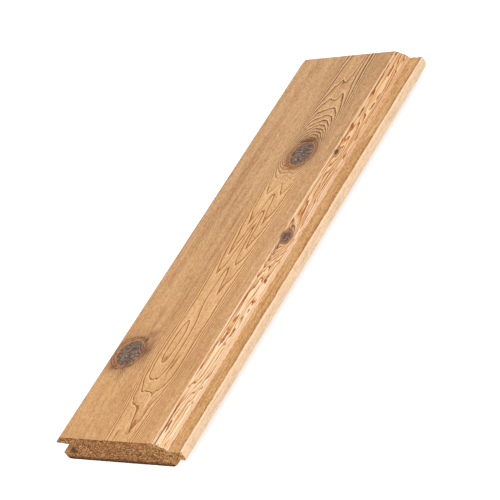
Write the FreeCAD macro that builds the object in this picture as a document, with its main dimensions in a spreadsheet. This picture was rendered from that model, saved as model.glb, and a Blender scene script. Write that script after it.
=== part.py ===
import FreeCAD, Part
import os
import Sketcher

# Tongue and groove board: one length of solid softwood, milled on both long edges.
# It lies on its back, face up. X runs across the board with the groove at -X and the
# tongue at +X, Y runs along the grain, and Z is up. The origin is the centre of the back.
# All sizes are in millimetres. Depths are measured down from the face, as a moulder is set.

NODE = "tongue_and_groove_board"

DRIVING_SIZES = {
    # The stick as it is cut to length
    "board_length": 300.0,
    "board_width": 96.0,
    "board_thickness": 19.0,
    # The tongue: how far it stands out from the face shoulder, its root and how it tapers
    "tongue_length": 10.0,
    "tongue_thickness": 7.1,
    "tongue_taper": 0.2,
    "tongue_nose_lean": 1.1,
    # The groove, as the room it leaves round the tongue of the next board
    "groove_end_clearance": 0.6,
    "groove_side_clearance": 0.2,
    "groove_mouth_flare": 0.6,
    # The V joint on the face: two bevels that meet at one depth, and the shoulder below them,
    # which drops to the tongue's top and leans out a little on the way
    "v_joint_depth": 4.0,
    "tongue_bevel_width": 6.8,
    "lip_bevel_width": 6.0,
    "shoulder_height": 1.9,
    "shoulder_run": 0.5,
    # The lower lip stands out past the upper one, into the set-in shoulder under the tongue.
    # The setback is the larger, so that the joint closes on the face first.
    "lower_lip_reach": 1.2,
    "back_shoulder_setback": 2.8,
    # Eased edges
    "tongue_nose_radius": 0.7,
    "groove_corner_radius": 0.5,
    "lip_nose_radius": 0.3,
    "lower_lip_radius": 2.0,
    "back_edge_radius": 0.4,
}

# Where the milling lies across the board, measured from the lower lip on the groove side
LOWER_LIP = "0"
UPPER_LIP = "Sizes.lower_lip_reach"
LIP_BEVEL_START = UPPER_LIP + " + Sizes.lip_bevel_width"
GROOVE_BACK = UPPER_LIP + " + Sizes.tongue_length + Sizes.groove_end_clearance"
TONGUE_NOSE = "Sizes.board_width"
TONGUE_NOSE_FOOT = "Sizes.board_width - Sizes.tongue_nose_lean"
FACE_SHOULDER = "Sizes.board_width - Sizes.tongue_length"
BEVEL_FOOT = FACE_SHOULDER + " - Sizes.shoulder_run"
BEVEL_START = BEVEL_FOOT + " - Sizes.tongue_bevel_width"
BACK_SHOULDER = FACE_SHOULDER + " - Sizes.back_shoulder_setback"

# How deep the milling lies, measured down from the face
FACE = "0"
BACK = "Sizes.board_thickness"
V_FOOT = "Sizes.v_joint_depth"
TONGUE_TOP_AT_ROOT = V_FOOT + " + Sizes.shoulder_height"
TONGUE_TOP_AT_NOSE = TONGUE_TOP_AT_ROOT + " + Sizes.tongue_taper"
TONGUE_FOOT_AT_ROOT = TONGUE_TOP_AT_ROOT + " + Sizes.tongue_thickness"
TONGUE_FOOT_AT_NOSE = TONGUE_FOOT_AT_ROOT + " - Sizes.tongue_taper"
GROOVE_TOP_AT_BACK = TONGUE_TOP_AT_NOSE + " - Sizes.groove_side_clearance"
GROOVE_TOP_AT_MOUTH = TONGUE_TOP_AT_ROOT + " - Sizes.groove_side_clearance - Sizes.groove_mouth_flare"
GROOVE_FOOT_AT_BACK = TONGUE_FOOT_AT_NOSE + " + Sizes.groove_side_clearance"
GROOVE_FOOT_AT_MOUTH = TONGUE_FOOT_AT_ROOT + " + Sizes.groove_side_clearance"

document = FreeCAD.newDocument(NODE)
sheet = document.addObject("Spreadsheet::Sheet", "Sizes")
for row, (alias, size) in enumerate(DRIVING_SIZES.items(), start=1):
    sheet.set("A%d" % row, alias.replace("_", " "))
    sheet.set("B%d" % row, str(size))
    sheet.setAlias("B%d" % row, alias)
document.recompute()

board = document.addObject("PartDesign::Body", "Board")
board.Label = NODE


def present_value(expression):
    """The length that an expression on the sheet gives now."""
    return float(sheet.evalExpression(expression))


def height_over_back(depth):
    """A depth below the face, as a height over the back."""
    return "Sizes.board_thickness - (%s)" % depth


def hold_corner(sketch, line, label, point, across, height):
    """Hold a line's start by its distances from the sketch's origin, or on an axis at distance 0.

    A sketch numbers its axis across the board -1, with the origin as that axis's point 1, and
    its upright axis -2. A line's own points are 1, its start, and 2, its end.
    """
    distances = [
        ("DistanceX", label + "_across", point.x, across, -2),
        ("DistanceY", label + "_height", point.y, height, -1),
    ]
    for kind, name, reading, expression, axis_at_zero in distances:
        if abs(reading) < 1e-9:
            sketch.addConstraint(Sketcher.Constraint("PointOnObject", line, 1, axis_at_zero))
            continue
        index = sketch.addConstraint(Sketcher.Constraint(kind, -1, 1, line, 1, reading))
        sketch.renameConstraint(index, name)
        sketch.setExpression("Constraints." + name, expression)


def section_sketch(name, corners):
    """A closed outline across the board. Each corner is (label, across, depth)."""
    sketch = board.newObject("Sketcher::SketchObject", name)
    planes = board.Origin.OriginFeatures
    section_plane = [plane for plane in planes if plane.Role == "XZ_Plane"][0]
    sketch.AttachmentSupport = [(section_plane, "")]
    sketch.MapMode = "FlatFace"
    sketch.setExpression("AttachmentOffset.Base.x", "-Sizes.board_width / 2")

    heights = [height_over_back(depth) for _, _, depth in corners]
    points = [
        FreeCAD.Vector(present_value(across), present_value(height), 0)
        for (_, across, _), height in zip(corners, heights)
    ]
    for start, end in zip(points, points[1:] + points[:1]):
        sketch.addGeometry(Part.LineSegment(start, end), False)
    for line, (label, across, _) in enumerate(corners):
        line_after = (line + 1) % len(corners)
        sketch.addConstraint(Sketcher.Constraint("Coincident", line, 2, line_after, 1))
        hold_corner(sketch, line, label, points[line], across, heights[line])
    document.recompute()
    return sketch


def mill(name, corners):
    """One pass of a cutter along the whole board, from the outline that it takes away."""
    volume_before = board.Shape.Volume
    sketch = section_sketch(name + "Outline", corners)
    cut = board.newObject("PartDesign::Pocket", name)
    cut.Profile = sketch
    cut.Type = "ThroughAll"
    cut.SideType = "Symmetric"
    document.recompute()
    if board.Shape.Volume >= volume_before:
        raise RuntimeError(name + " takes nothing away")
    return cut


def edge_along(across, depth):
    """The name of the edge that runs the board's length at one place of the section."""
    x = present_value(across) - present_value("Sizes.board_width") / 2
    z = present_value(height_over_back(depth))
    for index, edge in enumerate(board.Shape.Edges, start=1):
        ends = [vertex.Point for vertex in edge.Vertexes]
        if all(abs(end.x - x) < 1e-4 and abs(end.z - z) < 1e-4 for end in ends):
            return "Edge%d" % index
    raise RuntimeError("no edge at x %.2f, z %.2f" % (x, z))


def ease(name, radius, places):
    """Round off edges that run the board's length. Each place is (across, depth)."""
    fillet = board.newObject("PartDesign::Fillet", name)
    fillet.Base = (fillet.BaseFeature, [edge_along(across, depth) for across, depth in places])
    fillet.setExpression("Radius", radius)
    document.recompute()
    return fillet


# The blank, sawn and planed to its outer sizes
blank_outline = section_sketch("BlankOutline", [
    ("lip_back", LOWER_LIP, BACK),
    ("nose_back", TONGUE_NOSE, BACK),
    ("nose_face", TONGUE_NOSE, FACE),
    ("lip_face", LOWER_LIP, FACE),
])
blank = board.newObject("PartDesign::Pad", "Blank")
blank.Profile = blank_outline
blank.SideType = "Symmetric"
blank.setExpression("Length", "Sizes.board_length")
document.recompute()

# The face side of the tongue edge: the bevel, the shoulder and the top of the tongue
mill("TongueTop", [
    ("bevel_start", BEVEL_START, FACE),
    ("bevel_foot", BEVEL_FOOT, V_FOOT),
    ("root", FACE_SHOULDER, TONGUE_TOP_AT_ROOT),
    ("nose", TONGUE_NOSE, TONGUE_TOP_AT_NOSE),
    ("waste", TONGUE_NOSE, FACE),
])

# The back side of the tongue edge: the leaning nose, the underside and the set-in shoulder
mill("TongueFoot", [
    ("nose", TONGUE_NOSE, TONGUE_TOP_AT_NOSE),
    ("nose_foot", TONGUE_NOSE_FOOT, TONGUE_FOOT_AT_NOSE),
    ("root", BACK_SHOULDER, TONGUE_FOOT_AT_ROOT),
    ("back", BACK_SHOULDER, BACK),
    ("waste", TONGUE_NOSE, BACK),
])

# The groove, right through the length and open to -X
mill("Groove", [
    ("mouth_foot", LOWER_LIP, GROOVE_FOOT_AT_MOUTH),
    ("back_foot", GROOVE_BACK, GROOVE_FOOT_AT_BACK),
    ("back_top", GROOVE_BACK, GROOVE_TOP_AT_BACK),
    ("mouth_top", UPPER_LIP, GROOVE_TOP_AT_MOUTH),
    ("waste", LOWER_LIP, GROOVE_TOP_AT_MOUTH),
])

# The upper lip: its bevel, the other half of the V joint, and its nose behind the lower lip's
mill("UpperLip", [
    ("bevel_start", LIP_BEVEL_START, FACE),
    ("bevel_foot", UPPER_LIP, V_FOOT),
    ("nose_foot", UPPER_LIP, GROOVE_TOP_AT_MOUTH),
    ("waste_foot", LOWER_LIP, GROOVE_TOP_AT_MOUTH),
    ("waste", LOWER_LIP, FACE),
])

# Eased edges, from the tongue round to the groove
ease("TongueNoseEase", "Sizes.tongue_nose_radius", [
    (TONGUE_NOSE, TONGUE_TOP_AT_NOSE),
    (TONGUE_NOSE_FOOT, TONGUE_FOOT_AT_NOSE),
])
ease("GrooveCornerEase", "Sizes.groove_corner_radius", [
    (GROOVE_BACK, GROOVE_TOP_AT_BACK),
    (GROOVE_BACK, GROOVE_FOOT_AT_BACK),
])
ease("LipNoseEase", "Sizes.lip_nose_radius", [
    (UPPER_LIP, V_FOOT),
    (UPPER_LIP, GROOVE_TOP_AT_MOUTH),
    (LOWER_LIP, GROOVE_FOOT_AT_MOUTH),
])
ease("LowerLipEase", "Sizes.lower_lip_radius", [(LOWER_LIP, BACK)])
ease("BackEdgeEase", "Sizes.back_edge_radius", [(BACK_SHOULDER, BACK)])

for item in document.Objects:
    if "Invalid" in item.State or "Error" in item.State:
        raise RuntimeError("%s failed: %s" % (item.Name, item.State))
shape = board.Shape
if shape.isNull() or not shape.isValid() or len(shape.Solids) != 1:
    raise RuntimeError(NODE + " is not one valid solid")

os.makedirs("parts", exist_ok=True)
shape.exportStep("parts/%s.step" % NODE)

box = shape.BoundBox
print("%s: %.2f x %.2f x %.2f mm, %.1f cm3" % (
    NODE, box.XLength, box.YLength, box.ZLength, shape.Volume / 1000))
print("across %.2f to %.2f, along %.2f to %.2f, up %.2f to %.2f" % (
    box.XMin, box.XMax, box.YMin, box.YMax, box.ZMin, box.ZMax))
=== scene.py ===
import math
from collections import namedtuple

import bpy
import numpy as np
from mathutils import Matrix, Vector, noise
from mathutils.geometry import delaunay_2d_cdt


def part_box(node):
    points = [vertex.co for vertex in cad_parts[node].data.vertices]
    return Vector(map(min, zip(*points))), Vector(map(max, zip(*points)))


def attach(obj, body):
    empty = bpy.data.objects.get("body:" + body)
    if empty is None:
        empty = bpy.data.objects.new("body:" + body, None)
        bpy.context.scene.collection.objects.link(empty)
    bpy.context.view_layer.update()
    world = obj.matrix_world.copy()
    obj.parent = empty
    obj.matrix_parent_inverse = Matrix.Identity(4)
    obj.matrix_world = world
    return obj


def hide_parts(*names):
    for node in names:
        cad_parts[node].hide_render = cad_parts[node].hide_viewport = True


bl_info = {
    "name": "Tongue and groove board",
    "version": (1, 0, 0),
    "blender": (4, 5, 0),
    "location": "3D View > Sidebar > Board",
    "description": "A length of knotty softwood board, milled with a tongue, a groove and a V joint",
    "category": "Object",
}

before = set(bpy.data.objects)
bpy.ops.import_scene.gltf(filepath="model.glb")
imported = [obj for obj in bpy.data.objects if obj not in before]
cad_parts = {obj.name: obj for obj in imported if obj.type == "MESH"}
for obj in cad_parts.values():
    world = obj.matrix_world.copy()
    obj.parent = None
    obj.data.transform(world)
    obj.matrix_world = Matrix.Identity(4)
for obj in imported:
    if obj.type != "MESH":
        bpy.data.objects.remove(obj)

NODE = "tongue_and_groove_board"
BODY = "root"

# X runs across the board with the tongue at +X, Y along the grain, Z up out of the face.
# Places and sizes below are in millimetres unless a name says otherwise.
MM = 0.001
LOW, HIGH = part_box(NODE)
FACE_HEIGHT = HIGH.z / MM
HALF_LENGTH = HIGH.y / MM

# The tree that the board was sawn from. Its pith runs along Y under the back of the board,
# and the years' growth lies round it, flattened over the crown.
PITH_X = 5.4
PITH_Z = -21.0
CROWN_RADIUS = FACE_HEIGHT - PITH_Z
CROWN_FLAT = 20.0
RINGS_PER_MM = 16.0
EVEN_GROWTH = 0.25

# Where the trunk swelled or sank, counted in rings at the face. A crease comes to a sharp line
# along the trunk, and a swell is round.
Swell = namedtuple("Swell", "x y across along rings")
SWELLS = (
    Swell(10.2, 160.0, 2.8, 42.0, 1.0),
    Swell(2.9, 126.0, 1.3, 3.5, 0.22),
    Swell(9.2, 113.0, 2.2, 5.0, 0.24),
    Swell(1.8, 112.0, 2.2, 5.0, 0.18),
    Swell(5.2, 6.0, 2.4, 34.0, -1.45),
    Swell(6.4, -42.0, 2.0, 18.0, -0.7),
    Swell(2.0, -81.0, 4.3, 20.0, 0.95),
    Swell(11.2, -60.0, 4.4, 38.0, -1.0),
    Swell(8.9, -129.0, 2.9, 12.0, 0.50),
)
CREASES = (
    Swell(-0.8, -2.0, 2.6, 34.0, 0.7),
    Swell(10.5, -2.0, 2.6, 34.0, 0.7),
    Swell(10.3, -46.0, 2.0, 10.0, 0.3),
    Swell(8.9, -132.0, 1.6, 12.0, 0.75),
)

# The crown's rise and fall along the board, as (y, rings)
CROWN_LINE = (
    (-150.0, -5.6),
    (-125.0, -5.0),
    (-115.0, -4.0),
    (-105.0, -3.0),
    (-94.0, -2.65),
    (-66.0, -2.5),
    (-48.0, -2.6),
    (-29.0, -2.3),
    (-13.0, -1.5),
    (10.0, -0.5),
    (22.0, 0.3),
    (38.0, 0.6),
    (65.0, 0.0),
    (100.0, -0.15),
    (126.0, 0.0),
    (150.0, 0.0),
)

# Each knot is a branch that runs out from the pith. x, y, z is where its middle comes out;
# across and along are its half sizes there. It lifts the rings round it, by that many at most,
# over a distance across the grain, and up and down the trunk.
Knot = namedtuple("Knot", "x y z across along lift wide up down")
KNOTS = (
    Knot(6.8, 65.5, 19.0, 8.2, 9.6, 20.0, 12.0, 20.0, 8.0),
    Knot(-27.8, -88.6, 19.0, 7.3, 9.4, 13.0, 8.0, 13.0, 9.0),
    Knot(33.6, 0.3, 17.3, 2.4, 4.3, 7.0, 4.0, 12.0, 16.0),
    Knot(32.3, 66.5, 18.0, 0.9, 2.0, 2.0, 2.0, 6.0, 6.0),
)

# Resin that coloured the wood near the knots, strongest in the middle of each patch
Stain = namedtuple("Stain", "x y across along strength")
BROWN_STAINS = (
    Stain(-15.8, -86.5, 3.4, 9.0, 0.75),
    Stain(-20.0, -74.5, 5.0, 3.5, 0.60),
    Stain(-23.0, -65.0, 1.4, 7.0, 0.40),
    Stain(-25.5, -101.0, 2.0, 6.0, 0.60),
    Stain(-35.0, -99.0, 4.0, 3.0, 0.50),
    Stain(7.5, 77.2, 8.0, 2.4, 0.80),
    Stain(9.0, 82.0, 2.2, 6.0, 0.45),
    Stain(33.6, 7.0, 1.4, 5.0, 0.60),
    Stain(32.4, -8.0, 1.0, 6.0, 0.55),
    Stain(35.5, -78.0, 0.5, 1.4, 0.95),
)
BARK_STAINS = (
    Stain(-21.8, -79.0, 1.2, 1.8, 0.95),
    Stain(-25.5, -77.0, 2.6, 0.8, 0.65),
    Stain(-19.3, -86.0, 0.6, 4.0, 0.60),
    Stain(-22.5, -97.5, 2.4, 0.8, 0.50),
    Stain(4.0, 75.8, 4.5, 0.9, 0.75),
    Stain(33.2, 0.8, 2.0, 3.2, 0.45),
    Stain(31.0, 1.2, 0.8, 2.2, 0.70),
    Stain(32.9, 5.5, 0.5, 2.5, 0.45),
    Stain(32.0, -6.0, 0.5, 3.5, 0.45),
    Stain(32.3, 66.5, 0.9, 1.8, 0.80),
)
FADED_LINES = (
    Stain(5.0, 44.5, 13.0, 6.5, 0.80),
    Stain(6.0, 52.0, 12.0, 3.0, 0.70),
)
WARM_STAINS = (
    Stain(-0.4, 12.5, 0.9, 4.0, 0.75),
    Stain(10.6, 11.5, 0.9, 4.0, 0.75),
    Stain(-0.3, -11.0, 0.8, 3.5, 0.65),
    Stain(-0.2, -26.5, 0.8, 3.5, 0.60),
    Stain(10.4, -8.5, 0.8, 3.0, 0.55),
    Stain(10.5, -41.5, 0.9, 4.5, 0.80),
    Stain(10.7, -94.0, 1.0, 5.5, 1.00),
    Stain(9.8, -100.0, 0.7, 4.0, 0.80),
    Stain(2.0, -92.0, 1.3, 3.0, 0.75),
    Stain(8.9, -139.5, 1.4, 5.5, 1.00),
    Stain(0.6, -146.0, 0.8, 5.0, 0.70),
    Stain(4.3, 124.8, 1.1, 1.6, 0.80),
    Stain(5.0, 53.4, 6.5, 1.6, 0.52),
    Stain(-0.5, 56.5, 1.0, 3.0, 0.70),
)

# Where the rings' crown lies across the face, and the step over which their slope is read.
# Planing waves no deeper than the skin show no other ring.
CROWN_MIDDLE = 6.5
SLOPE_STEP = 0.3
SKIN = 0.15

# The bevel cuts along the rings, so it shows this many lines for each millimetre across it
BEVEL_START = 31.0
BEVEL_LINES_PER_MM = 0.58

# The tongue's nose starts here and leans in by this much for each millimetre down
NOSE_TOP = 12.9
NOSE_LEAN = 0.164


def paint(red, green, blue):
    """A colour given in 0 to 255 as it is seen, as the share of light that it sends back."""
    shares = (red / 255, green / 255, blue / 255)
    return tuple(s / 12.92 if s <= 0.04045 else ((s + 0.055) / 1.055) ** 2.4 for s in shares)


class Wire:
    """One socket of a material's nodes. A sum written with it adds the Math nodes."""

    def __init__(self, tree, socket=None):
        self.tree = tree
        self.socket = socket

    def node(self, kind, values=None, settings=None, output=0):
        """Add a node, set it up, and fill its sockets with numbers, colours or other wires."""
        made = self.tree.nodes.new(kind)
        for name, setting in (settings or {}).items():
            if name == "stops":
                set_stops(made.color_ramp, setting)
            elif name == "points":
                set_points(made.mapping, setting)
            else:
                setattr(made, name, setting)
        for name, value in (values or {}).items():
            if isinstance(value, Wire):
                self.tree.links.new(value.socket, made.inputs[name])
            else:
                made.inputs[name].default_value = value
        return Wire(self.tree, made.outputs[output]) if made.outputs else None

    def sum(self, operation, *values):
        return self.node("ShaderNodeMath", dict(enumerate(values)), {"operation": operation})

    def __add__(self, other):
        return self.sum("ADD", self, other)

    def __radd__(self, other):
        return self.sum("ADD", other, self)

    def __sub__(self, other):
        return self.sum("SUBTRACT", self, other)

    def __rsub__(self, other):
        return self.sum("SUBTRACT", other, self)

    def __mul__(self, other):
        return self.sum("MULTIPLY", self, other)

    def __rmul__(self, other):
        return self.sum("MULTIPLY", other, self)

    def __truediv__(self, other):
        return self.sum("DIVIDE", self, other)

    def __rtruediv__(self, other):
        return self.sum("DIVIDE", other, self)

    def __pow__(self, other):
        return self.sum("POWER", self, other)

    def __rpow__(self, other):
        return self.sum("POWER", other, self)

    def __neg__(self):
        return self.sum("MULTIPLY", self, -1.0)

    def __abs__(self):
        return self.sum("ABSOLUTE", self)

    def fraction(self):
        return self.sum("FRACT", self)

    def wave(self):
        return self.sum("SINE", self)


def set_stops(ramp, stops):
    """Colour stops of a ramp, as (place, colour)."""
    while len(ramp.elements) > 1:
        ramp.elements.remove(ramp.elements[-1])
    ramp.elements[0].position = stops[0][0]
    ramp.elements[0].color = (*stops[0][1], 1.0)
    for place, colour in stops[1:]:
        ramp.elements.new(place).color = (*colour, 1.0)


def set_points(mapping, points):
    """Points of a curve that gives one number for another."""
    lowest_out = min(out for _, out in points)
    highest_out = max(out for _, out in points)
    mapping.use_clip = False
    mapping.clip_min_x = points[0][0]
    mapping.clip_max_x = points[-1][0]
    mapping.clip_min_y = lowest_out
    mapping.clip_max_y = highest_out
    curve = mapping.curves[0]
    curve.points[0].location = points[0]
    curve.points[1].location = points[-1]
    for place, out in points[1:-1]:
        curve.points.new(place, out)
    for point in curve.points:
        point.handle_type = "VECTOR"
    mapping.update()


def smooth(value, low, high):
    """0 at low, 1 at high and an S between them, for a wire or for numbers. Low may be the larger."""
    if isinstance(value, Wire):
        return value.node(
            "ShaderNodeMapRange",
            {"Value": value, "From Min": low, "From Max": high},
            {"interpolation_type": "SMOOTHSTEP"},
        )
    share = np.clip((value - low) / (high - low), 0.0, 1.0)
    return share * share * (3.0 - 2.0 * share)


def least(first, second):
    if isinstance(first, Wire):
        return first.sum("MINIMUM", first, second)
    return np.minimum(first, second)


def most(first, second):
    if isinstance(first, Wire):
        return first.sum("MAXIMUM", first, second)
    return np.maximum(first, second)


def blend(share, first, second):
    """A colour between two, first at share 0."""
    wire = share if isinstance(share, Wire) else first
    return wire.node(
        "ShaderNodeMix", {0: share, 6: rgba(first), 7: rgba(second)}, {"data_type": "RGBA"}, 2
    )


def tint(share, first, second):
    """The first colour times the second, by a share."""
    wire = share if isinstance(share, Wire) else first
    settings = {"data_type": "RGBA", "blend_type": "MULTIPLY"}
    return wire.node("ShaderNodeMix", {0: share, 6: rgba(first), 7: rgba(second)}, settings, 2)


def rgba(colour):
    return colour if isinstance(colour, Wire) else (*tuple(colour)[:3], 1.0)


def knot_axis(knot):
    """The knot's direction out from the pith, as across and up, and how far out it ends."""
    across, up = knot.x - PITH_X, knot.z - PITH_Z
    length = math.hypot(across, up)
    return across / length, up / length, length


def knot_place(knot, x, y, z):
    """Where a point lies seen along the knot, scaled to its size where it comes out."""
    across, up, length = knot_axis(knot)
    out = (x - PITH_X) * across + (z - PITH_Z) * up
    side = (x - PITH_X) * up - (z - PITH_Z) * across
    scale = length / most(out, 1.0)
    return side * scale, (y - knot.y) * scale


def knot_reach(knot, x, y, z):
    """How far a point is from the knot's middle. 1 is at its edge."""
    side, along = knot_place(knot, x, y, z)
    side = side / knot.across
    along = along / knot.along
    return (side * side + along * along) ** 0.5


def knot_lift(knot, x, y, z):
    """How many rings the knot lifts the wood round it."""
    side, along = knot_place(knot, x, y, z)
    upward = 0.5 / knot.up + 0.5 / knot.down
    lean = 0.5 / knot.up - 0.5 / knot.down
    side = side / knot.wide
    along = along * upward + abs(along) * lean
    reach = (side * side + along * along) ** 0.5
    return knot.lift * math.e ** -reach


def nearest_knot(x, y, z):
    reach = knot_reach(KNOTS[0], x, y, z)
    for knot in KNOTS[1:]:
        reach = least(reach, knot_reach(knot, x, y, z))
    return reach


def bell(patch, x, y):
    """1 in the middle of a patch, fading out round it."""
    across = (x - patch.x) / patch.across
    along = (y - patch.y) / patch.along
    return math.e ** -(across * across + along * along)


def ridge(patch, x, y):
    """1 along the middle line of a patch, with a sharp edge there."""
    across = (x - patch.x) / patch.across
    along = (y - patch.y) / patch.along
    return math.e ** -(abs(across) + along * along)


def crown_line(y):
    """The crown's rise at a place along the board."""
    if isinstance(y, Wire):
        return y.node("ShaderNodeFloatCurve", {"Value": y}, {"points": CROWN_LINE})
    places, rises = zip(*CROWN_LINE)
    return np.interp(y, places, rises)


def ring_number(x, y, z):
    """The number of the year's ring that a point of the wood lies in, for wires or numbers."""
    across = x - PITH_X
    up = CROWN_RADIUS - most(FACE_HEIGHT - SKIN - z, 0.0)
    flat = abs(across) * across * across / (across * across + CROWN_FLAT * CROWN_FLAT)
    out = (flat * flat + up * up) ** 0.5 - CROWN_RADIUS
    slower = (1.0 + (out / EVEN_GROWTH) * (out / EVEN_GROWTH)) ** 0.25
    rings = RINGS_PER_MM * out / slower - crown_line(y)
    for swell in SWELLS:
        rings = rings - swell.rings * bell(swell, x, y)
    for crease in CREASES:
        rings = rings - crease.rings * ridge(crease, x, y)
    for knot in KNOTS:
        rings = rings - knot_lift(knot, x, y, z)
    return rings


Place = namedtuple("Place", "x y z")


def speckle(place, sizes, detail=2.0, rough=0.5, shift=0.0):
    """Noise from about -1 to 1, with spots of the given sizes."""
    spot = place.x.node(
        "ShaderNodeCombineXYZ",
        {0: place.x / sizes[0] + shift, 1: place.y / sizes[1], 2: place.z / sizes[2]},
    )
    cloud = place.x.node(
        "ShaderNodeTexNoise",
        {"Vector": spot, "Scale": 1.0, "Detail": detail, "Roughness": rough},
        {"noise_dimensions": "3D", "normalize": True},
    )
    return cloud * 2.0 - 1.0


def cells(place, sizes, shift=0.0):
    """A number from -1 to 1 for each small cell of the wood, at random."""
    spot = place.x.node(
        "ShaderNodeCombineXYZ",
        {0: place.x / sizes[0] + shift, 1: place.y / sizes[1], 2: place.z / sizes[2]},
    )
    settings = {"voronoi_dimensions": "3D", "feature": "F1"}
    cell = place.x.node("ShaderNodeTexVoronoi", {"Vector": spot, "Scale": 1.0}, settings, "Color")
    return cell.node("ShaderNodeSeparateColor", {"Color": cell}, output="Green") * 2.0 - 1.0


def stained(stains, place):
    """How strongly any of the patches colours a place, up to 1."""
    share = bell(stains[0], place.x, place.y) * stains[0].strength
    for stain in stains[1:]:
        share = most(share, bell(stain, place.x, place.y) * stain.strength)
    return share


# What the rings show at a place: the part of the year, and how far off the last and the next
# late line are, in millimetres
Grain = namedtuple("Grain", "year behind ahead steep fibre pores streaks bands patches")


def ring_group():
    """A node group that gives the ring number at a place."""
    group = bpy.data.node_groups.new("tree_rings", "ShaderNodeTree")
    for name in "XYZ":
        group.interface.new_socket(name, in_out="INPUT", socket_type="NodeSocketFloat")
    group.interface.new_socket("Ring", in_out="OUTPUT", socket_type="NodeSocketFloat")
    entry = group.nodes.new("NodeGroupInput")
    x, y, z = (Wire(group, entry.outputs[name]) for name in "XYZ")
    x.node("NodeGroupOutput", {"Ring": ring_number(x, y, z)})
    return group


def read_grain(place, sway):
    """The rings and the fibre at a place, with the small wander of real growth."""
    across = speckle(place, (9.0, 42.0, 9.0), 2.0, 0.5, 0.0) * 1.1
    across = across + speckle(place, (2.6, 9.0, 2.6), 2.0, 0.6, 7.0) * 0.42
    along = speckle(place, (4.5, 9.0, 4.5), 2.0, 0.6, 13.0) * 2.0
    along = along + speckle(place, (1.2, 3.5, 1.2), 1.0, 0.6, 17.0) * 0.5
    x, y = place.x + across, place.y + along
    group = {"node_tree": ring_group()}
    rings = x.node("ShaderNodeGroup", {"X": x, "Y": y, "Z": place.z}, group)
    ring_across = x.node("ShaderNodeGroup", {"X": x + SLOPE_STEP, "Y": y, "Z": place.z}, group)
    ring_along = x.node("ShaderNodeGroup", {"X": x, "Y": y + SLOPE_STEP, "Z": place.z}, group)
    rise_across = ring_across - rings
    rise_along = ring_along - rings
    steep = (rise_across * rise_across + rise_along * rise_along) ** 0.5 / SLOPE_STEP
    year = (rings + sway).fraction()
    return Grain(
        year=year,
        behind=year / steep,
        ahead=(1.0 - year) / steep,
        steep=steep,
        fibre=speckle(place, (0.7, 22.0, 0.7), 2.0, 0.7, 41.0),
        pores=cells(place, (0.42, 1.0, 0.42), 47.0),
        streaks=speckle(place, (2.2, 80.0, 2.2), 2.0, 0.6, 21.0),
        bands=speckle(place, (5.0, 150.0, 5.0), 2.0, 0.5, 27.0),
        patches=speckle(place, (22.0, 60.0, 20.0), 2.0, 0.5, 31.0),
    )


def face_wood(place, grain, look):
    """The planed face: even wood with thin dark lines over the crown of the rings."""
    near = smooth(place.y, 40.0, -130.0)
    warm = smooth(place.y, 75.0, 25.0)
    from_crown = abs(place.x - CROWN_MIDDLE)
    colour = blend(near, look.face_colour, look.golden_colour)
    bright = 0.10 + 0.82 * warm * (1.0 - 0.7 * smooth(place.y, -50.0, -110.0))
    colour = blend(smooth(from_crown, 17.0, 9.0) * bright, colour, look.crown_colour)
    colour = tint(smooth(grain.patches, 0.5, -0.5) * 0.6, colour, look.patch_tint)
    by_groove = smooth(place.x, -2.0, -14.0) * smooth(abs(place.y), 110.0, 40.0)
    by_tongue = smooth(place.x, 14.0, 24.0)
    colour = tint(smooth(grain.bands, 0.15, -0.40) * (0.20 + 0.50 * by_groove), colour, look.band_tint)
    colour = tint(smooth(grain.streaks, 0.15, -0.35) * (0.20 + 0.2 * by_tongue), colour, look.streak_tint)
    colour = tint(by_tongue * smooth(place.y, -30.0, 80.0) * 0.55, colour, look.patch_tint)
    colour = add_fibre(grain, colour, look)

    by_knot = smooth(nearest_knot(place.x, place.y, place.z), 2.6, 1.3)
    strength = most(0.16 + 0.84 * smooth(from_crown, 17.5, 11.5), by_knot * 0.55)
    strength = strength * (1.0 - stained(FADED_LINES, place))
    left_in_year = 1.0 - grain.year
    open_rings = smooth(grain.steep, 1.9, 0.9)
    pale = smooth(grain.behind, 1.6, 0.3) * smooth(grain.year, 0.45, 0.20) * open_rings
    colour = blend(pale * strength * 0.62, colour, look.pale_colour)
    thick = 1.12 - 0.12 * warm + 0.6 * grain.streaks + 0.12 * grain.pores
    line = smooth(grain.ahead, thick * 0.95, thick * 0.58) * smooth(left_in_year, 0.46, 0.28) * open_rings
    deepening = smooth(grain.ahead, 4.5, 0.1) * 0.13 * smooth(grain.steep, 0.75, 0.40)
    line_colour = blend(warm, look.far_line_colour, look.near_line_colour)
    colour = blend(deepening * strength, colour, line_colour)
    broken = 1.05 + 0.4 * grain.fibre + 0.15 * grain.pores
    return blend(least(line * strength * broken, 1.0), colour, line_colour)


def add_fibre(grain, colour, look):
    """The fine fibre and pores that planed softwood shows everywhere."""
    colour = tint(smooth(grain.fibre, 0.15, -0.35) * 0.60, colour, look.fibre_tint)
    colour = tint(smooth(grain.pores, 0.20, -1.00) * 0.75, colour, look.fibre_tint)
    shine = smooth(grain.pores * 0.7 + grain.fibre * 0.6, 0.10, 0.90)
    return blend(shine * 0.45, colour, look.pale_colour)


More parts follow.
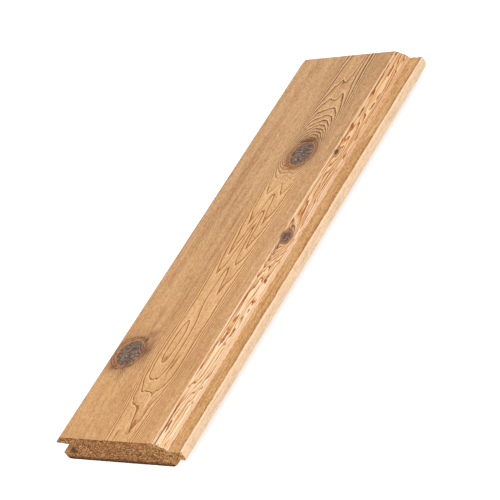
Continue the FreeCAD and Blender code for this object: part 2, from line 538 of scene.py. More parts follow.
def bevel_wood(place, grain, look):
    """The bevel lies along the rings, so their lines spread into flames of colour."""
    pale = blend(smooth(grain.patches, -0.3, 0.4), look.bevel_colour, look.bevel_pink_colour)
    thin = 1.0 + 0.6 * smooth(place.y, -10.0, -70.0) - 0.15 * smooth(abs(place.y - 10.0), 60.0, 25.0)
    # The palest stops paint sheen on the bevel's early wood as well as its pale colour.
    flames = place.x.node(
        "ShaderNodeValToRGB",
        {"Fac": grain.year ** thin},
        {
            "stops": (
                (0.00, look.bevel_pale_and_sheen_colour),
                (0.16, look.bevel_pale_and_sheen_colour),
                (0.42, look.bevel_colour),
                (0.62, look.bevel_golden_colour),
                (0.72, look.bevel_orange_colour),
                (0.80, look.bevel_line_colour),
                (0.93, look.bevel_line_colour),
                (0.98, look.bevel_pale_and_sheen_colour),
            )
        },
    )
    colour = blend(0.90 + 0.3 * grain.bands, pale, flames)
    colour = tint(smooth(place.y, 20.0, 90.0), colour, look.far_bevel_tint)
    colour = tint(smooth(grain.fibre, 0.1, -0.4) * 0.5, colour, look.fibre_tint)
    colour = tint(smooth(grain.streaks, 0.0, -0.35) * 0.35, colour, look.streak_tint)
    # Painted highlight: a pale line along the bevel's top arris, where light catches the edge.
    arris_highlight = smooth(abs(place.x - 31.0), 0.5, 0.2)
    colour = blend(arris_highlight * 0.7, colour, look.bevel_pale_and_sheen_colour)
    edge_line = smooth(abs(place.x - 32.0 - 0.6 * grain.bands), 0.65, 0.25)
    return blend(edge_line * smooth(grain.streaks, -0.3, 0.15) * 0.9, colour, look.bevel_line_colour)


def tongue_wood(place, grain, look):
    """The tongue's golden top, darker towards its edge, and the pale sapwood of its nose."""
    wave = speckle(place, (60.0, 9.0, 60.0), 3.0, 0.6, 3.0)
    colour = blend(smooth(place.x + wave * 1.4, 44.6, 46.6), look.tongue_colour, look.tongue_edge_colour)
    mottle = speckle(place, (2.2, 7.0, 2.2), 3.0, 0.6, 5.0)
    colour = tint(smooth(mottle, 0.2, -0.6) * 0.5, colour, look.band_tint)
    colour = tint(smooth(grain.streaks, 0.2, -0.4) * 0.5, colour, look.streak_tint)
    colour = add_fibre(grain, colour, look)
    scratch = smooth(abs(place.x - 42.5 - (place.y - 80.0) * 0.15), 0.5, 0.1)
    scratch = scratch * smooth(abs(place.y - 90.0), 12.0, 8.0)
    colour = blend(scratch * 0.6, colour, look.sapwood_colour)

    lean = most(NOSE_TOP - place.z, 0.0) * NOSE_LEAN
    nose = smooth(place.x + lean + wave * 0.75, 46.7, 47.2) * smooth(place.z, 5.0, 6.0)
    sap = tint(smooth(grain.fibre, 0.1, -0.5) * 0.6, look.sapwood_colour, look.fibre_tint)
    sap = tint(smooth(grain.pores, 0.0, -1.0) * 0.5, sap, look.fibre_tint)
    sap = tint(smooth(mottle, 0.1, -0.6) * 0.35, sap, look.fibre_tint)
    return blend(nose, colour, sap)


def add_knots(place, colour, look):
    """The knots: a grey heart with swirls and cracks, and rings of bark and stained wood round it."""
    grit = speckle(place, (1.3, 1.5, 1.3), 2.0, 0.6, 61.0)
    drift = speckle(place, (5.0, 5.5, 5.0), 2.0, 0.5, 71.0)
    frayed = speckle(place, (1.0, 2.6, 1.0), 2.0, 0.7, 75.0)
    reach = nearest_knot(place.x, place.y, place.z) + drift * 0.11 + grit * 0.07 + frayed * 0.09

    bend = speckle(place, (7.0, 7.0, 7.0), 0.0, 0.5, 73.0)
    curl = speckle(place, (3.0, 3.0, 3.0), 0.0, 0.5, 77.0)
    swirl = (place.y * 0.42 + reach * 1.0 + bend * 2.6 + curl * 0.9).fraction()
    specks = cells(place, (0.8, 0.8, 0.8), 79.0)
    heart = blend(smooth(drift + grit * 0.5, -0.5, 0.5), look.knot_colour, look.knot_glint_colour)
    dark_swirl = smooth(swirl, 0.15, 0.55) * smooth(swirl, 1.0, 0.8)
    heart = blend(dark_swirl * (0.55 + 0.25 * specks), heart, look.knot_dark_colour)
    pale_swirl = smooth(abs(swirl - 0.06), 0.15, 0.04)
    heart = blend(pale_swirl * (0.45 + 0.35 * specks), heart, look.knot_pale_colour)
    cracks = smooth(abs(speckle(place, (3.6, 2.6, 3.6), 2.0, 0.6, 81.0)), 0.06, 0.0)
    heart = blend(cracks * 0.8, heart, look.knot_bark_colour)

    collar = place.x.node(
        "ShaderNodeValToRGB",
        {"Fac": reach * 0.5},
        {
            "stops": (
                (0.400, look.knot_colour),
                (0.425, look.halo_colour),
                (0.455, look.stain_colour),
                (0.480, look.halo_colour),
                (0.505, look.halo_pale_colour),
                (0.530, look.halo_colour),
                (0.550, look.stain_colour),
                (0.565, look.halo_colour),
                (0.585, look.halo_pale_colour),
                (0.610, look.stain_colour),
                (0.635, look.halo_colour),
                (0.670, look.halo_pale_colour),
                (0.700, look.halo_colour),
            )
        },
    )
    collar = tint(smooth(frayed, 0.25, -0.35) * 0.8, collar, look.fibre_tint)
    patchy = least(most(0.95 + 0.5 * drift + 0.5 * grit, 0.0), 1.0)
    veil = smooth(reach, 2.1, 1.3) * 0.30
    colour = blend(veil * patchy, colour, look.halo_colour)
    colour = blend(smooth(reach, 1.50, 1.22) * patchy, colour, collar)
    inside = smooth(reach, 0.95, 0.82)
    colour = blend(inside, colour, heart)
    rim = smooth(reach, 0.82, 0.92) * smooth(reach, 1.04, 0.96)
    return colour, inside, cracks, rim


def add_stains(place, grain, colour, look):
    """Resin by the knots, and the warm tips of the late lines."""
    swirl = speckle(place, (1.6, 6.0, 1.6), 3.0, 0.65, 111.0)
    lines = smooth(grain.year, 0.45, 0.85) * 0.8
    brown = stained(BROWN_STAINS, place) * (0.65 + 1.3 * swirl + lines)
    colour = blend(most(least(brown, 1.0), 0.0), colour, look.stain_colour)
    bark = stained(BARK_STAINS, place) * (0.90 + 1.2 * swirl)
    colour = blend(most(least(bark, 1.0), 0.0), colour, look.knot_bark_colour)
    warm = stained(WARM_STAINS, place) * (0.9 + 0.5 * grain.streaks + 0.7 * grain.pores)
    return blend(smooth(warm, 0.22, 0.60) * 0.90, colour, look.warm_stain_colour)


def end_wood(place, grain, look):
    """A sawn end: the same rings end on, rough and darker than the face."""
    grit = speckle(place, (0.8, 0.8, 0.65), 2.0, 0.85, 91.0) + cells(place, (0.6, 0.6, 0.5), 93.0) * 0.40
    lumps = speckle(place, (4.0, 3.0, 0.85), 3.0, 0.75, 95.0) * 0.75
    torn = smooth(place.x, 22.0, 36.0)
    # The darker colour of the end's hollows is painted shade.
    colour = blend(smooth(grit + lumps * 0.5, -0.30, 0.20), look.end_hollow_shade_colour, look.end_colour)
    rays = speckle(place, (0.9, 4.0, 3.0), 2.0, 0.6, 101.0)
    colour = tint(smooth(rays, 0.1, -0.30) * 0.7, colour, look.end_tint)
    colour = tint(smooth(grain.year, 0.6, 0.95) * 0.35, colour, look.end_tint)
    gold = smooth(lumps * 0.7 + grit + 0.30 * torn, 0.15, 0.45)
    colour = blend(gold * 0.80, colour, look.end_gold_colour)
    # Painted shade in the holes where fibre broke off, most by the tongue.
    pit_shade = smooth(grit * 0.6 - lumps, 0.22, 0.42) * (0.35 + 0.6 * torn)
    colour = blend(pit_shade, colour, look.end_pit_shade_colour)
    # Painted contact shade along the end's lower edge, with some saw burn: darker towards the bottom.
    foot_shade_and_burn = smooth(place.z + lumps * 1.5, 4.0, 0.6)
    arris = smooth(place.z + grit * 1.2, 17.6, 18.6)
    colour = tint(arris * 0.5, colour, look.end_tint)
    return tint(foot_shade_and_burn, colour, look.end_foot_shade_and_burn_tint), grit * 0.7 + lumps * 0.6


def parts_of(start, name):
    """The three parts of one of the texture coordinates."""
    coordinate = start.node("ShaderNodeTexCoord", output=name)
    parts = start.tree.nodes.new("ShaderNodeSeparateXYZ")
    start.tree.links.new(coordinate.socket, parts.inputs[0])
    return [Wire(start.tree, output) for output in parts.outputs]


def make_softwood(look):
    """Planed, unfinished softwood, coloured all through from the tree's rings and knots."""
    material = bpy.data.materials.new("planed_softwood")
    material.use_nodes = True
    tree = material.node_tree
    tree.nodes.clear()
    start = Wire(tree)
    place = Place(*(part / MM for part in parts_of(start, "Object")))
    facing = parts_of(start, "Normal")

    # The surfaces that the milling bared
    over_tongue = smooth(place.z, 11.0, 12.5)
    on_bevel = smooth(place.x, 30.4, 31.0) * smooth(place.x, 38.3, 37.7) * over_tongue
    on_shoulder = smooth(place.x, 37.0, 37.5) * smooth(place.x, 38.4, 38.0) * over_tongue
    on_tongue = smooth(place.x, 37.9, 38.3)
    by_end = smooth(abs(place.y), HALF_LENGTH - 2.5, HALF_LENGTH - 2.0)
    at_end = smooth(abs(facing[1]), 0.40, 0.65) * by_end

    sway = (place.x - BEVEL_START) * BEVEL_LINES_PER_MM
    sway = sway + speckle(place, (3.2, 50.0, 6.0), 1.0, 0.5, 11.0) * 2.2
    sway = sway + speckle(place, (1.3, 30.0, 3.0), 1.0, 0.5, 15.0) * 0.6
    grain = read_grain(place, sway * smooth(place.x, 30.4, 31.0))
    colour = blend(on_bevel, face_wood(place, grain, look), bevel_wood(place, grain, look))
    pale_shoulder = 0.30 + 0.45 * smooth(place.y, 75.0, 25.0) + 0.5 * grain.bands
    pale_shoulder = pale_shoulder * (1.0 - 0.8 * smooth(grain.year, 0.55, 0.75))
    colour = blend(on_shoulder * pale_shoulder, colour, look.shoulder_colour)
    colour = blend(on_tongue, colour, tongue_wood(place, grain, look))
    # Painted shade: the colour is darkened at the back of the groove, where shade falls.
    groove_shade_depth = smooth(place.x, -45.0, -42.0) * smooth(place.x, -34.5, -35.5)
    groove_shade = groove_shade_depth * smooth(abs(place.z - 9.5), 4.6, 4.0)
    colour = tint(groove_shade * 0.80, colour, look.groove_shade_tint)
    colour, heart, cracks, rim = add_knots(place, colour, look)
    colour = add_stains(place, grain, colour, look)
    end, end_relief = end_wood(place, grain, look)
    colour = blend(at_end, colour, end)

    late = smooth(grain.ahead, 0.9, 0.1)
    relief = late * 0.08 + grain.fibre * 0.15
    relief = relief - cracks * heart * 1.6 - rim * 0.8 + end_relief * at_end * 2.0
    bump = start.node("ShaderNodeBump", {"Height": relief, "Strength": 1.0, "Distance": 0.07 * MM})
    roughness = 0.64 + 0.10 * grain.fibre - 0.10 * late + 0.15 * at_end
    shader = start.node(
        "ShaderNodeBsdfPrincipled",
        {
            "Base Color": colour,
            "Roughness": roughness,
            "Normal": bump,
            "Specular IOR Level": 0.30,
        },
    )
    start.node("ShaderNodeOutputMaterial", {"Surface": shader})
    return material


def section_outline():
    """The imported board's section, as corners (x, z) in order round it."""
    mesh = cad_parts[NODE].data
    keys = [tuple(round(c / MM, 4) for c in vertex.co) for vertex in mesh.vertices]
    uses = {}
    for face in mesh.polygons:
        corners = [keys[index] for index in face.vertices]
        if all(abs(corner[1] + HALF_LENGTH) < 0.001 for corner in corners):
            for edge in zip(corners, corners[1:] + corners[:1]):
                if edge[0] != edge[1]:
                    uses[frozenset(edge)] = uses.get(frozenset(edge), 0) + 1
    ahead = {}
    for edge, times in uses.items():
        if times == 1:
            first, second = edge
            ahead.setdefault(first, []).append(second)
            ahead.setdefault(second, []).append(first)
    start = min(ahead)
    loop, here, before = [start], ahead[start][0], start
    while here != start:
        loop.append(here)
        choices = [corner for corner in ahead[here] if corner != before]
        here, before = choices[0], here
    outline = [(corner[0], corner[2]) for corner in loop]
    return outline if turning_area(outline) > 0 else outline[::-1]


def turning_area(outline):
    """Twice the area inside, above 0 where the outline runs anticlockwise seen from -Y."""
    pairs = zip(outline, outline[1:] + outline[:1])
    return sum(a[0] * b[1] - b[0] * a[1] for a, b in pairs)


def ease_corners(outline, radius, steps=3, sharpest_kept=0.2):
    """Round the corners a little, as sanding and handling do."""
    eased = []
    count = len(outline)
    for index in range(count):
        before, here, after = (
            Vector(outline[(index + step) % count]) for step in (-1, 0, 1)
        )
        back, forth = before - here, after - here
        turn = math.pi - back.angle(forth)
        if turn < sharpest_kept:
            eased.append(tuple(here))
            continue
        reach = min(radius * math.tan(turn / 2), 0.4 * back.length, 0.4 * forth.length)
        first = here + back.normalized() * reach
        last = here + forth.normalized() * reach
        for step in range(steps + 1):
            share = step / steps
            point = first * (1 - share) ** 2 + here * 2 * share * (1 - share) + last * share**2
            eased.append(tuple(point))
    return eased


def spread_along(outline, face_step, back_step):
    """More points round the outline, close together where the board is seen near by."""
    points = []
    for start, end in zip(outline, outline[1:] + outline[:1]):
        on_back = max(start[1], end[1]) < 0.5
        step = back_step if on_back else face_step
        length = math.dist(start, end)
        count = max(1, math.ceil(length / step))
        for part in range(count):
            share = part / count
            points.append(
                (start[0] + (end[0] - start[0]) * share, start[1] + (end[1] - start[1]) * share)
            )
    return np.array(points)


def outline_normals(points):
    """Unit directions out of the wood at each point of the outline."""
    ahead = np.roll(points, -1, axis=0) - np.roll(points, 1, axis=0)
    normals = np.column_stack([ahead[:, 1], -ahead[:, 0]])
    return normals / np.linalg.norm(normals, axis=1)[:, None]


def places_along(shape):
    """Where the rows of the mesh lie along the board: closer together by the knots."""
    by_end = [HALF_LENGTH - shape.end_ease * step for step in (0.0, 1.0, 3.0, 6.0, 10.0, 16.0, 24.0)]
    y = -by_end[-1]
    rows = []
    while y < by_end[-1]:
        rows.append(y)
        by_knot = any(abs(y - knot.y) < knot.along * 1.8 for knot in KNOTS)
        y += shape.knot_step if by_knot else shape.row_step
    return np.array([-place for place in by_end[:-1]] + rows + by_end[::-1])


def rough(x, y, z, sizes, seed):
    """Seeded noise from about -1 to 1 at many points."""
    points = np.column_stack([x / sizes[0] + seed, y / sizes[1], z / sizes[2]])
    return np.array([noise.noise(Vector(point)) for point in points]) * 1.6


def wear_depth(x, y, z, shape):
    """How far below the milled surface each point lies."""
    planing = np.clip(0.5 + 0.5 * rough(x, y, z, (14.0, 40.0, 14.0), 3.0), 0.0, 1.0)
    fibres = np.clip(0.5 + 0.5 * rough(x, y, z, (1.6, 12.0, 1.6), 17.0), 0.0, 1.0)
    reach = nearest_knot(x, y, z)
    heart = smooth(reach, 1.05, 0.9)
    dips = np.clip(0.5 + 0.5 * rough(x, y, z, (1.8, 1.8, 1.8), 29.0), 0.0, 1.0)
    gap = smooth(reach, 0.88, 1.0) * smooth(reach, 1.14, 1.02)
    torn = smooth(reach, 1.7, 1.1) * smooth(reach, 1.0, 1.1)
    depth = shape.planing_depth * planing + shape.fibre_depth * fibres
    depth = depth + heart * shape.knot_depth * dips + gap * shape.bark_depth
    return depth + torn * shape.fibre_depth * 2.0 * dips


def chip_depth(x, y, z, shape):
    """How far the milled surfaces broke away beside the sawn ends, most by the tongue."""
    beside = smooth(HALF_LENGTH - np.abs(y), shape.chip_reach, 0.0)
    chips = np.clip(0.5 + 0.6 * rough(x, y, z, (1.3, 1.6, 1.3), 67.0), 0.0, 1.0)
    by_tongue = smooth(x, 28.0, 38.0)
    return beside * chips**2 * (shape.chip_depth + by_tongue * shape.torn_chip_depth)


def end_depth(x, z, end, shape):
    """How far a sawn end's surface lies inside the board's length, rougher by the tongue."""
    fine = np.clip(0.5 + 0.6 * rough(x, z, z, (0.7, 0.7, 0.7), 41.0 + 9.0 * end), 0.0, 1.0)
    coarse = np.clip(0.5 + 0.7 * rough(x, z, z, (1.7, 1.3, 1.3), 53.0 + 9.0 * end), 0.0, 1.0)
    saw = 0.5 + 0.5 * np.sin(2.0 * math.pi * (x * 0.9 + z * 0.25) / 2.2)
    by_tongue = smooth(x, 30.0, 38.0)
    torn = by_tongue * shape.torn_end_depth * (1.0 if end < 0 else shape.far_end_share)
    depth = shape.end_rough_depth * (0.6 * fine + 0.3 * coarse + 0.1 * saw)
    return depth + torn * coarse**2 * (0.4 + 0.6 * fine)


def pull_in(x, y, z, shape):
    """The y of points by the ends, moved in to the sawn surface and eased off along the board."""
    y = y.copy()
    for end in (-1.0, 1.0):
        from_end = HALF_LENGTH - end * y
        near = from_end < shape.tear_reach
        depth = end_depth(x[near], z[near], end, shape)
        y[near] -= end * depth * (1.0 - from_end[near] / shape.tear_reach)
    return y


def end_points(outline, step):
    """Points inside the section for an end's mesh, clear of its outline."""
    low, high = outline.min(axis=0), outline.max(axis=0)
    columns = np.arange(low[0] + step / 2, high[0], step)
    rows = np.arange(low[1] + step / 2, high[1], step)
    grid = np.array([(x + 0.25 * step * (-1) ** int(n), z) for n, z in enumerate(rows) for x in columns])
    inside = np.zeros(len(grid), bool)
    nearest = np.full(len(grid), 1e9)
    for start, end in zip(outline, np.roll(outline, -1, axis=0)):
        spans = (start[1] > grid[:, 1]) != (end[1] > grid[:, 1])
        rise = end[1] - start[1]
        if abs(rise) > 1e-12:
            crossing = start[0] + (grid[:, 1] - start[1]) * (end[0] - start[0]) / rise
            inside ^= spans & (grid[:, 0] < crossing)
        run = end - start
        share = np.clip(((grid - start) @ run) / max(run @ run, 1e-12), 0.0, 1.0)
        nearest = np.minimum(nearest, np.linalg.norm(grid - start - share[:, None] * run, axis=1))
    return grid[inside & (nearest > 0.45 * step)]


def make_board(shape):
    """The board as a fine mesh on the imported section, worn a little and closed at both ends."""
    outline = ease_corners(section_outline(), shape.arris_radius)
    points = spread_along(outline, shape.face_step, shape.back_step)
    normals = outline_normals(points)
    rows = places_along(shape)
    across = len(points)

    x = np.tile(points[:, 0], len(rows))
    z = np.tile(points[:, 1], len(rows))
    out_x = np.tile(normals[:, 0], len(rows))
    out_z = np.tile(normals[:, 1], len(rows))
    y = np.repeat(rows, across)
    depth = wear_depth(x, y, z, shape)
    at_tip = np.abs(np.abs(y) - HALF_LENGTH) < 1e-6
    depth = depth + np.where(at_tip, shape.end_ease, 0.0) + chip_depth(x, y, z, shape)
    x = x - out_x * depth
    z = z - out_z * depth
    vertices = [np.column_stack([x, pull_in(x, y, z, shape), z])]

    faces = []
    for row in range(len(rows) - 1):
        here, ahead = row * across, (row + 1) * across
        for index in range(across):
            after = (index + 1) % across
            faces.append((here + index, here + after, ahead + after, ahead + index))

    total = len(x)
    inner = end_points(points, shape.end_step)
    flat = [Vector(p) for p in np.vstack([points, inner])]
    last_row = (len(rows) - 1) * across
    for first, end in ((0, -1.0), (last_row, 1.0)):
        edges = [(index, (index + 1) % across) for index in range(across)]
        made, _, triangles, origins, _, _ = delaunay_2d_cdt(flat, edges, [], 1, 1e-7)
        names = {}
        extra = []
        for index, origin in enumerate(origins):
            source = origin[0]
            if source < across:
                names[index] = first + source
            else:
                names[index] = total + len(extra)
                extra.append(made[index])
        extra = np.array(extra)
        inset = end_depth(extra[:, 0], extra[:, 1], end, shape)
        vertices.append(np.column_stack([extra[:, 0], end * (HALF_LENGTH - inset), extra[:, 1]]))
        total += len(extra)
        for triangle in triangles:
            corners = [names[index] for index in triangle]
            faces.append(corners if end < 0 else corners[::-1])

    mesh = bpy.data.meshes.new("board")
    mesh.from_pydata(np.vstack(vertices) * MM, [], faces)
    mesh.validate()
    mesh.polygons.foreach_set("use_smooth", [True] * len(mesh.polygons))
    mesh.set_sharp_from_angle(angle=math.radians(50.0))
    mesh.update()
    board = bpy.data.objects.new("board", mesh)
    bpy.context.scene.collection.objects.link(board)
    return board


def make_floor(stage):
    """A plain white floor, which looks white to the camera except where the board shades it."""
    half = stage.floor_size / 2
    mesh = bpy.data.meshes.new("floor")
    corners = [(-half, -half, 0.0), (half, -half, 0.0), (half, half, 0.0), (-half, half, 0.0)]
    mesh.from_pydata(corners, [], [(0, 1, 2, 3)])
    floor = bpy.data.objects.new("floor", mesh)
    bpy.context.scene.collection.objects.link(floor)
    floor.location.z = LOW.z - stage.floor_gap
    material = bpy.data.materials.new("white_floor")
    material.use_nodes = True
    tree = material.node_tree
    tree.nodes.clear()
    start = Wire(tree)
    seen = start.node("ShaderNodeLightPath", output="Is Camera Ray")
    matt = start.node("ShaderNodeBsdfDiffuse", {"Color": (*stage.floor_colour, 1.0)})
    glow = start.node("ShaderNodeEmission", {"Color": (1.0, 1.0, 1.0, 1.0), "Strength": stage.floor_glow})
    both = start.node("ShaderNodeAddShader", {0: matt, 1: glow})
    surface = start.node("ShaderNodeMixShader", {0: seen, 1: matt, 2: both})
    start.node("ShaderNodeOutputMaterial", {"Surface": surface})
    mesh.materials.append(material)
    return floor


def make_lamp(name, aim, azimuth, elevation, distance, size, share, colour=(1.0, 1.0, 1.0)):
    """A soft lamp that lights a white card facing it to a share of full white."""
    lamp = bpy.data.lights.new(name, "AREA")
    lamp.shape = "SQUARE"
    lamp.size = size
    lamp.energy = share * (math.pi * distance) ** 2
    lamp.color = colour
    holder = bpy.data.objects.new(name, lamp)
    bpy.context.scene.collection.objects.link(holder)
    away = direction(azimuth, elevation)
    holder.location = aim + away * distance
    holder.rotation_euler = (-away).to_track_quat("-Z", "Y").to_euler()
    return holder


def direction(azimuth, elevation):
    """A direction from the board: azimuth 0 is +X and 90 is +Y, in radians."""
    level = math.cos(elevation)
    return Vector((level * math.cos(azimuth), level * math.sin(azimuth), math.sin(elevation)))


def make_sky(strength):
    """Even light from all round, seen by the camera as plain white."""
    world = bpy.data.worlds.new("studio")
    bpy.context.scene.world = world
    world.use_nodes = True
    tree = world.node_tree
    tree.nodes.clear()
    start = Wire(tree)
    seen = start.node("ShaderNodeLightPath", output="Is Camera Ray")
    light = start.node("ShaderNodeBackground", {"Color": (1.0, 1.0, 1.0, 1.0), "Strength": strength})
    white = start.node("ShaderNodeBackground", {"Color": (1.0, 1.0, 1.0, 1.0), "Strength": 1.0})
    surface = start.node("ShaderNodeMixShader", {0: seen, 1: light, 2: white})
    start.node("ShaderNodeOutputWorld", {"Surface": surface})


def make_camera(stage):
    """A long lens that looks down on the face from the tongue's side, turned to stand the board up."""
    lens = bpy.data.cameras.new("camera")
    lens.lens = stage.lens
    lens.sensor_width = stage.sensor
    lens.clip_start = 0.05
    lens.clip_end = 20.0
    camera = bpy.data.objects.new("camera", lens)
    bpy.context.scene.collection.objects.link(camera)
    away = direction(stage.camera_azimuth, stage.camera_elevation)
    level = (-away).to_track_quat("-Z", "Y").to_matrix()
    turned = level @ Matrix.Rotation(stage.camera_roll, 3, "Z")
    camera.matrix_world = Matrix.Translation(Vector(stage.aim) + away * stage.camera_distance) @ turned.to_4x4()
    bpy.context.scene.camera = camera
    return camera


class BoardShape(bpy.types.PropertyGroup):
    """Sizes of the board's mesh and wear, in millimetres."""

    face_step: bpy.props.FloatProperty(
        name="Face step", description="Distance between mesh points across the face", default=0.85, min=0.2
    )
    back_step: bpy.props.FloatProperty(
        name="Back step", description="Distance between mesh points across the back", default=2.5, min=0.2
    )
    row_step: bpy.props.FloatProperty(
        name="Row step", description="Distance between rows of the mesh along the board", default=1.45, min=0.2
    )
    knot_step: bpy.props.FloatProperty(
        name="Row step by knots", description="Distance between rows beside the knots", default=0.7, min=0.2
    )
    end_step: bpy.props.FloatProperty(
        name="End step", description="Distance between mesh points on the sawn ends", default=0.6, min=0.2
    )
    arris_radius: bpy.props.FloatProperty(
        name="Arris radius", description="Rounding of the milled arrises", default=0.3, min=0.0
    )
    end_ease: bpy.props.FloatProperty(
        name="End easing", description="Width of the worn edge round each sawn end", default=0.12, min=0.01
    )
    planing_depth: bpy.props.FloatProperty(
        name="Planing waves", description="Depth of the long waves that planing leaves", default=0.04, min=0.0
    )
    fibre_depth: bpy.props.FloatProperty(
        name="Fibre", description="Depth of the lifted fibre", default=0.02, min=0.0
    )
    knot_depth: bpy.props.FloatProperty(
        name="Knot dips", description="Depth of the dips in a knot's heart", default=0.15, min=0.0
    )
    bark_depth: bpy.props.FloatProperty(
        name="Bark gap", description="Depth of the gap round a knot", default=0.22, min=0.0
    )
    end_rough_depth: bpy.props.FloatProperty(
        name="Sawn roughness", description="Depth of the roughness of a sawn end", default=0.22, min=0.0
    )
    torn_end_depth: bpy.props.FloatProperty(
        name="Torn fibre", description="Extra depth where fibre tore out by the tongue", default=1.5, min=0.0
    )
    far_end_share: bpy.props.FloatProperty(
        name="Far end", description="How torn the far end is, as a share of the near one", default=0.3, min=0.0
    )
    tear_reach: bpy.props.FloatProperty(
        name="Tear reach", description="How far along the board the torn ends reach", default=3.0, min=0.5
    )
    chip_reach: bpy.props.FloatProperty(
        name="Chip reach", description="How far from a sawn end the arrises are chipped", default=1.2, min=0.1
    )
    chip_depth: bpy.props.FloatProperty(
        name="Chips", description="Depth of the chips along the face", default=0.18, min=0.0
    )
    torn_chip_depth: bpy.props.FloatProperty(
        name="Torn chips", description="Extra depth of the chips by the tongue", default=0.45, min=0.0
    )


def colour_property(name, description, seen):
    return bpy.props.FloatVectorProperty(
        name=name, description=description, subtype="COLOR", size=3, min=0.0, max=1.0, default=paint(*seen)
    )


class WoodLook(bpy.types.PropertyGroup):
    """Colours of the wood."""

    face_colour: colour_property("Face", "Planed face at the far end", (232, 186, 138))
    golden_colour: colour_property("Golden", "Warmer face at the near end", (235, 185, 128))
    crown_colour: colour_property("Crown", "Brighter wood over the rings' crown", (254, 207, 150))
    pale_colour: colour_property("Pale", "Early growth just past a line", (244, 206, 158))
    far_line_colour: colour_property("Far lines", "Late growth at the far end", (128, 74, 38))
    near_line_colour: colour_property("Near lines", "Late growth at the near end", (170, 98, 38))
    patch_tint: colour_property("Patches", "Tint of broad darker patches", (238, 230, 224))
    band_tint: colour_property("Bands", "Tint of soft bands along the grain", (216, 200, 186))
    streak_tint: colour_property("Streaks", "Tint of narrow streaks", (220, 204, 188))
    fibre_tint: colour_property("Fibre", "Tint of fine fibre", (214, 197, 172))
    bevel_colour: colour_property("Bevel", "Wood of the bevel", (237, 191, 140))
    bevel_pink_colour: colour_property("Pink bevel", "Pinker wood of the bevel", (240, 198, 156))
    # Pale early wood of the bevel with painted sheen, and the painted highlight on its top arris
    bevel_pale_and_sheen_colour: colour_property("Pale bevel", "Palest streaks of the bevel", (249, 216, 178))
    bevel_golden_colour: colour_property("Golden bevel", "Deeper growth", (226, 166, 100))
    bevel_orange_colour: colour_property("Orange bevel", "Late growth", (198, 120, 56))
    far_bevel_tint: colour_property("Far bevel", "Tint of the bevel's far end", (246, 238, 226))
    bevel_line_colour: colour_property("Bevel lines", "Darkest growth", (150, 76, 32))
    shoulder_colour: colour_property("Shoulder", "The small step under the bevel", (255, 228, 196))
    tongue_colour: colour_property("Tongue", "Top of the tongue", (227, 177, 119))
    tongue_edge_colour: colour_property("Tongue edge", "Darker wood along the edge", (196, 140, 86))
    sapwood_colour: colour_property("Sapwood", "Pale wood on the tongue's nose", (255, 222, 186))
    knot_colour: colour_property("Knot", "Heart of a knot", (124, 104, 93))
    knot_pale_colour: colour_property("Pale knot", "Paler wood in a knot", (196, 168, 142))
    knot_glint_colour: colour_property("Warm knot", "Brown glints in a knot", (152, 122, 100))
    knot_dark_colour: colour_property("Dark knot", "Cracks and bark of a knot", (76, 57, 54))
    knot_bark_colour: colour_property("Bark", "Dark bark and cracks of a knot", (64, 40, 34))
    halo_colour: colour_property("Halo", "Wood round a knot", (170, 124, 88))
    halo_pale_colour: colour_property("Pale halo", "Paler wood round a knot", (202, 154, 110))
    warm_stain_colour: colour_property("Warm stain", "Orange late growth", (170, 94, 38))
    stain_colour: colour_property("Stain", "Resin by a knot", (124, 80, 52))
    end_colour: colour_property("Sawn end", "Sawn end grain", (216, 150, 87))
    # Painted shade in the hollows of the sawn end
    end_hollow_shade_colour: colour_property("Dark sawn end", "Hollows of the sawn end", (104, 64, 34))
    end_gold_colour: colour_property("Golden sawn end", "Loose fibre", (252, 192, 118))
    # Painted shade in the holes of the sawn end
    end_pit_shade_colour: colour_property("Pits", "Pits where fibre broke off", (82, 50, 28))
    end_tint: colour_property("End rings", "Tint of late growth on the end", (196, 164, 132))
    # Painted shade laid on the back of the groove
    groove_shade_tint: colour_property("Groove", "Tint of the groove's shaded back", (116, 86, 60))
    # Painted contact shade along the end's lower edge, with some saw burn
    end_foot_shade_and_burn_tint: colour_property("End foot", "Tint of the end's lower edge", (104, 76, 52))


class StageSettings(bpy.types.PropertyGroup):
    """The floor, the lamps and the camera."""

    floor_size: bpy.props.FloatProperty(
        name="Floor size", description="Side of the floor", default=6.0, unit="LENGTH"
    )
    floor_gap: bpy.props.FloatProperty(
        name="Floor gap", description="Gap that keeps the floor clear of the back", default=0.0002, unit="LENGTH"
    )
    floor_colour: bpy.props.FloatVectorProperty(
        name="Floor colour", description="Colour of the floor", subtype="COLOR", default=(0.8, 0.8, 0.8)
    )
    floor_glow: bpy.props.FloatProperty(
        name="Floor glow", description="White added to the floor as the camera sees it", default=0.62
    )
    sky_strength: bpy.props.FloatProperty(
        name="Sky", description="Even light from all round, 1 for full white", default=0.5
    )
    key_share: bpy.props.FloatProperty(
        name="Key lamp", description="Light of the lamp on the tongue's side", default=0.58
    )
    fill_share: bpy.props.FloatProperty(
        name="Fill lamp", description="Light of the lamp by the near end", default=0.2
    )
    aim: bpy.props.FloatVectorProperty(
        name="Aim", description="Where the camera looks", subtype="XYZ", default=(0.00177, -0.00209, 0.0095)
    )
    camera_azimuth: bpy.props.FloatProperty(
        name="Azimuth", description="Camera round the board from +X", subtype="ANGLE", default=math.radians(-36.47)
    )
    camera_elevation: bpy.props.FloatProperty(
        name="Elevation", description="Camera over the floor", subtype="ANGLE", default=math.radians(31.88)
    )
    camera_roll: bpy.props.FloatProperty(
        name="Roll", description="Camera turned on its own axis", subtype="ANGLE", default=math.radians(-36.51)
    )
    camera_distance: bpy.props.FloatProperty(
        name="Distance", description="Camera from its aim", default=1.23475, unit="LENGTH"
    )
    lens: bpy.props.FloatProperty(
        name="Lens", description="Focal length", default=156.52, unit="CAMERA"
    )
    sensor: bpy.props.FloatProperty(
        name="Sensor", description="Width of the sensor", default=36.0, unit="CAMERA"
    )


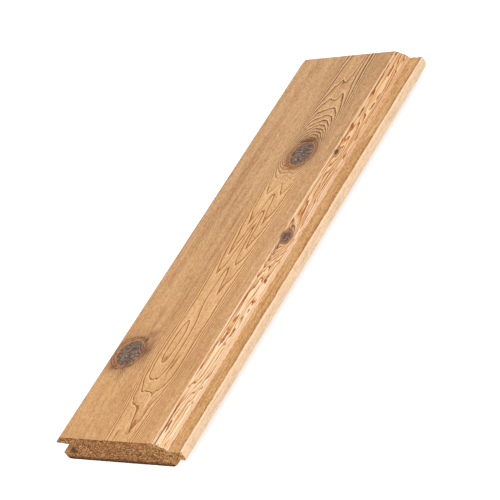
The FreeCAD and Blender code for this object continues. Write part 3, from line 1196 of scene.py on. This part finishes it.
class BOARD_OT_make(bpy.types.Operator):
    """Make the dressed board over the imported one"""

    bl_idname = "tg_board.make"
    bl_label = "Make board"

    def execute(self, context):
        board = make_board(context.scene.board_shape)
        board.data.materials.append(make_softwood(context.scene.board_look))
        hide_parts(NODE)
        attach(board, BODY)
        return {"FINISHED"}


class BOARD_OT_stage(bpy.types.Operator):
    """Set out the floor, the lamps and the camera"""

    bl_idname = "tg_board.stage"
    bl_label = "Set stage"

    def execute(self, context):
        stage = context.scene.board_stage
        view = context.scene.view_settings
        view.view_transform = "Standard"
        make_floor(stage)
        make_sky(stage.sky_strength)
        aim = Vector(stage.aim)
        make_lamp("key_lamp", aim, math.radians(-12), math.radians(48), 2.4, 1.4, stage.key_share)
        make_lamp("fill_lamp", aim, math.radians(-85), math.radians(35), 2.6, 1.8, stage.fill_share)
        make_camera(stage)
        return {"FINISHED"}


class BOARD_PT_panel(bpy.types.Panel):
    """Tools of the board"""

    bl_idname = "BOARD_PT_panel"
    bl_label = "Tongue and groove board"
    bl_space_type = "VIEW_3D"
    bl_region_type = "UI"
    bl_category = "Board"

    def draw(self, context):
        layout = self.layout
        for operator in OPERATORS:
            layout.operator(operator.bl_idname)
        for settings in (context.scene.board_shape, context.scene.board_look, context.scene.board_stage):
            box = layout.box()
            for name in settings.__annotations__:
                box.prop(settings, name)


OPERATORS = (BOARD_OT_make, BOARD_OT_stage)
CLASSES = (BoardShape, WoodLook, StageSettings, *OPERATORS, BOARD_PT_panel)


def register():
    for made in CLASSES:
        bpy.utils.register_class(made)
    bpy.types.Scene.board_shape = bpy.props.PointerProperty(type=BoardShape)
    bpy.types.Scene.board_look = bpy.props.PointerProperty(type=WoodLook)
    bpy.types.Scene.board_stage = bpy.props.PointerProperty(type=StageSettings)


def unregister():
    del bpy.types.Scene.board_stage
    del bpy.types.Scene.board_look
    del bpy.types.Scene.board_shape
    for made in reversed(CLASSES):
        bpy.utils.unregister_class(made)


def main():
    register()
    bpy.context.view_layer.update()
    bpy.ops.tg_board.make()
    bpy.ops.tg_board.stage()


if __name__ == "__main__":
    main()
